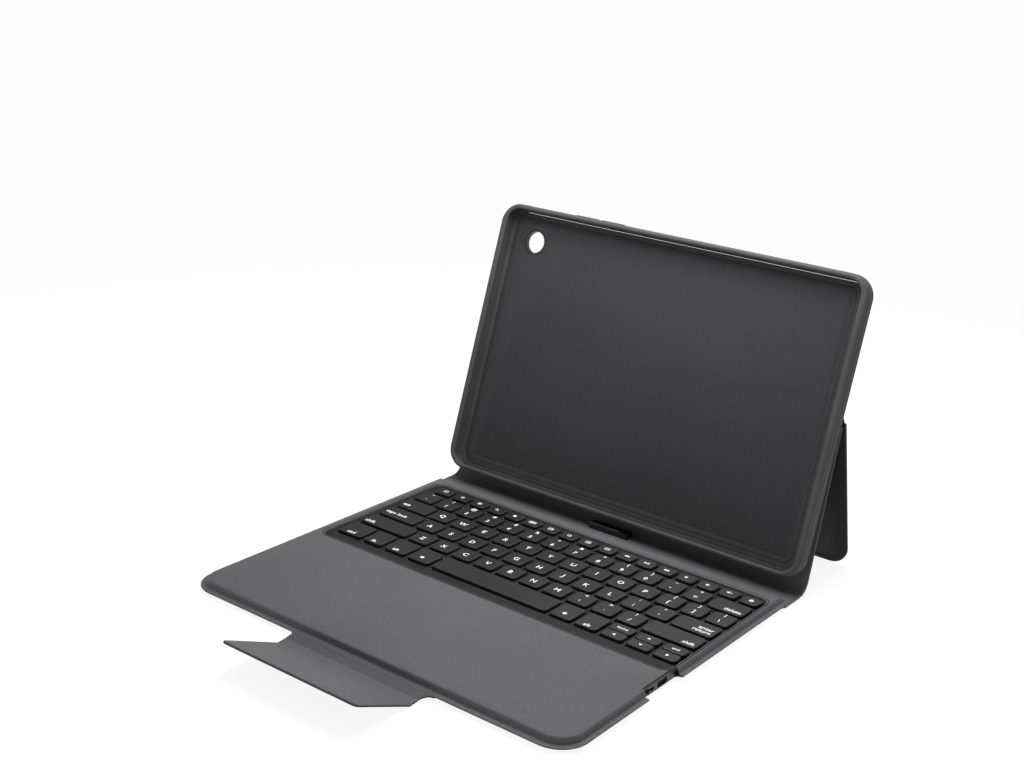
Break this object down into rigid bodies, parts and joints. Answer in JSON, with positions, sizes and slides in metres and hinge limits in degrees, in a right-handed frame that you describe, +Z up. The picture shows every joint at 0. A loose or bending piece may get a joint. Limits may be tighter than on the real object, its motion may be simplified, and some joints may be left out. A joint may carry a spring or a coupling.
{
  "type": "tablet keyboard case",
  "caption": "Folding case for a tablet with a keyboard base, a soft spine, a framed tray, a fold-out kickstand and a closing flap.",
  "frame": {"origin": "centre of the keyboard base's footprint, on the table it stands on", "axes": "+X to the user's right, +Y away from the user, +Z up"},
  "size_m": [0.2585, 0.341, 0.1823],
  "materials": {
    "twill_fabric": "fine twill, matt",
    "soft_lining": "smooth synthetic leather, matt",
    "tray_rubber": "soft-touch matt",
    "key_plastic": "fine matt",
    "deck_plastic": "satin",
    "black_plastic": "satin",
    "board": "fibreboard",
    "steel": "brushed",
    "circuit_board": "solder mask",
    "membrane": "clear film",
    "dome_rubber": "silicone",
    "white_plastic": "matt",
    "lens": "clear",
    "battery_foil": "foil pouch",
    "felt": "microfibre"
  },
  "bodies": {
    "base": {"base_outer_cover": "twill_fabric", "base_stiffener": "board", "palm_rest_core": "board", "palm_rest_lining": "soft_lining", "battery_pack": "battery_foil", "battery_lead": "membrane", "controller_board": "circuit_board", "charging_port": "steel", "switch_housing": "steel", "side_port_plate": "black_plastic", "indicator_lenses": "lens", "closure_magnets": "steel", "keyboard_pan": "black_plastic", "key_backplate": "steel", "membrane_sheet": "membrane", "membrane_tail": "membrane", "rubber_domes": "dome_rubber", "scissor_frames": "white_plastic", "keyboard_deck": "deck_plastic", "keyboard_screws": "steel"},
    "spine": {"spine_fabric": "twill_fabric", "spine_board": "board", "spine_lining": "soft_lining", "spine_lug": "black_plastic"},
    "tray": {"tray_frame": "tray_rubber", "tray_back_plate": "black_plastic", "tray_pad": "felt", "upper_back_cover": "twill_fabric", "camera_ring": "black_plastic", "lower_back_lining": "soft_lining", "lower_back_board": "twill_fabric"},
    "kickstand": {"kickstand_cover": "twill_fabric", "kickstand_board": "board", "kickstand_lining": "felt"},
    "flap_neck": {"flap_neck_panel": "soft_lining"},
    "flap_tongue": {"flap_board": "board", "flap_skin": "soft_lining", "flap_magnets": "steel"},
    "power_switch": {"power_switch": "black_plastic"},
    "volume_up": {"volume_up_button": "tray_rubber"},
    "volume_down": {"volume_down_button": "tray_rubber"},
    "tablet_power": {"tablet_power_button": "tray_rubber"},
    "function_keys": {"function_keys": "key_plastic"},
    "number_keys": {"number_keys": "key_plastic"},
    "upper_letter_keys": {"upper_letter_keys": "key_plastic"},
    "home_letter_keys": {"home_letter_keys": "key_plastic"},
    "lower_letter_keys": {"lower_letter_keys": "key_plastic"},
    "modifier_keys": {"modifier_keys": "key_plastic"},
    "delete_key": {"delete_key": "key_plastic"},
    "tab_key": {"tab_key": "key_plastic"},
    "backslash_key": {"backslash_key": "key_plastic"},
    "caps_key": {"caps_key": "key_plastic"},
    "enter_key": {"enter_key": "key_plastic"},
    "left_shift_key": {"left_shift_key": "key_plastic"},
    "right_shift_key": {"right_shift_key": "key_plastic"},
    "space_bar": {"space_bar": "key_plastic"},
    "left_arrow_key": {"left_arrow_key": "key_plastic"},
    "up_arrow_key": {"up_arrow_key": "key_plastic"},
    "down_arrow_key": {"down_arrow_key": "key_plastic"},
    "right_arrow_key": {"right_arrow_key": "key_plastic"}
  },
  "joints": [
    {"name": "spine_fold", "type": "hinge", "parent": "base", "child": "spine", "pos_m": [0, 0.107, 0.003], "axis": [1, 0, 0], "range_deg": [0, 90]},
    {"name": "tray_fold", "type": "hinge", "parent": "spine", "child": "tray", "pos_m": [0, 0.128, 0.0035], "axis": [1, 0, 0], "range_deg": [-73.6, 16.4]},
    {"name": "kickstand_fold", "type": "hinge", "parent": "tray", "child": "kickstand", "pos_m": [0, 0.15214, 0.09885], "axis": [1, 0, 0], "range_deg": [-28.8, 110]},
    {"name": "flap_neck_fold", "type": "hinge", "parent": "base", "child": "flap_neck", "pos_m": [0, -0.1072, 0.0026], "axis": [-1, 0, 0], "range_deg": [0, 90]},
    {"name": "flap_tongue_fold", "type": "hinge", "parent": "flap_neck", "child": "flap_tongue", "pos_m": [0, -0.1189, 0.0008], "axis": [-1, 0, 0], "range_deg": [-20, 55]},
    {"name": "power_switch_slide", "type": "slide", "parent": "base", "child": "power_switch", "axis": [0, 1, 0], "range_m": [0, 0.0025]},
    {"name": "function_keys_press", "type": "slide", "parent": "base", "child": "function_keys", "axis": [0, 0, -1], "range_m": [0, 0.0012], "stiffness_N_per_m": 5100, "springref_m": -0.0006},
    {"name": "number_keys_press", "type": "slide", "parent": "base", "child": "number_keys", "axis": [0, 0, -1], "range_m": [0, 0.0012], "stiffness_N_per_m": 3900, "springref_m": -0.0006},
    {"name": "upper_letter_keys_press", "type": "slide", "parent": "base", "child": "upper_letter_keys", "axis": [0, 0, -1], "range_m": [0, 0.0012], "stiffness_N_per_m": 3600, "springref_m": -0.0006},
    {"name": "home_letter_keys_press", "type": "slide", "parent": "base", "child": "home_letter_keys", "axis": [0, 0, -1], "range_m": [0, 0.0012], "stiffness_N_per_m": 3300, "springref_m": -0.0006},
    {"name": "lower_letter_keys_press", "type": "slide", "parent": "base", "child": "lower_letter_keys", "axis": [0, 0, -1], "range_m": [0, 0.0012], "stiffness_N_per_m": 3000, "springref_m": -0.0006},
    {"name": "modifier_keys_press", "type": "slide", "parent": "base", "child": "modifier_keys", "axis": [0, 0, -1], "range_m": [0, 0.0012], "stiffness_N_per_m": 2400, "springref_m": -0.0006},
    {"name": "delete_key_press", "type": "slide", "parent": "base", "child": "delete_key", "axis": [0, 0, -1], "range_m": [0, 0.0012], "stiffness_N_per_m": 300, "springref_m": -0.0006},
    {"name": "tab_key_press", "type": "slide", "parent": "base", "child": "tab_key", "axis": [0, 0, -1], "range_m": [0, 0.0012], "stiffness_N_per_m": 300, "springref_m": -0.0006},
    {"name": "backslash_key_press", "type": "slide", "parent": "base", "child": "backslash_key", "axis": [0, 0, -1], "range_m": [0, 0.0012], "stiffness_N_per_m": 300, "springref_m": -0.0006},
    {"name": "caps_key_press", "type": "slide", "parent": "base", "child": "caps_key", "axis": [0, 0, -1], "range_m": [0, 0.0012], "stiffness_N_per_m": 300, "springref_m": -0.0006},
    {"name": "enter_key_press", "type": "slide", "parent": "base", "child": "enter_key", "axis": [0, 0, -1], "range_m": [0, 0.0012], "stiffness_N_per_m": 300, "springref_m": -0.0006},
    {"name": "left_shift_key_press", "type": "slide", "parent": "base", "child": "left_shift_key", "axis": [0, 0, -1], "range_m": [0, 0.0012], "stiffness_N_per_m": 300, "springref_m": -0.0006},
    {"name": "right_shift_key_press", "type": "slide", "parent": "base", "child": "right_shift_key", "axis": [0, 0, -1], "range_m": [0, 0.0012], "stiffness_N_per_m": 300, "springref_m": -0.0006},
    {"name": "space_bar_press", "type": "slide", "parent": "base", "child": "space_bar", "axis": [0, 0, -1], "range_m": [0, 0.0012], "stiffness_N_per_m": 300, "springref_m": -0.0006},
    {"name": "left_arrow_key_press", "type": "slide", "parent": "base", "child": "left_arrow_key", "axis": [0, 0, -1], "range_m": [0, 0.0012], "stiffness_N_per_m": 300, "springref_m": -0.0006},
    {"name": "up_arrow_key_press", "type": "slide", "parent": "base", "child": "up_arrow_key", "axis": [0, 0, -1], "range_m": [0, 0.0012], "stiffness_N_per_m": 300, "springref_m": -0.0006},
    {"name": "down_arrow_key_press", "type": "slide", "parent": "base", "child": "down_arrow_key", "axis": [0, 0, -1], "range_m": [0, 0.0012], "stiffness_N_per_m": 300, "springref_m": -0.0006},
    {"name": "right_arrow_key_press", "type": "slide", "parent": "base", "child": "right_arrow_key", "axis": [0, 0, -1], "range_m": [0, 0.0012], "stiffness_N_per_m": 300, "springref_m": -0.0006},
    {"name": "volume_up_press", "type": "slide", "parent": "tray", "child": "volume_up", "axis": [0, -0.2823, -0.9593], "range_m": [0, 0.0004], "stiffness_N_per_m": 2000, "springref_m": -0.0003},
    {"name": "volume_down_press", "type": "slide", "parent": "tray", "child": "volume_down", "axis": [0, -0.2823, -0.9593], "range_m": [0, 0.0004], "stiffness_N_per_m": 2000, "springref_m": -0.0003},
    {"name": "tablet_power_press", "type": "slide", "parent": "tray", "child": "tablet_power", "axis": [1, 0, 0], "range_m": [0, 0.0004], "stiffness_N_per_m": 2000, "springref_m": -0.0003}
  ]
}
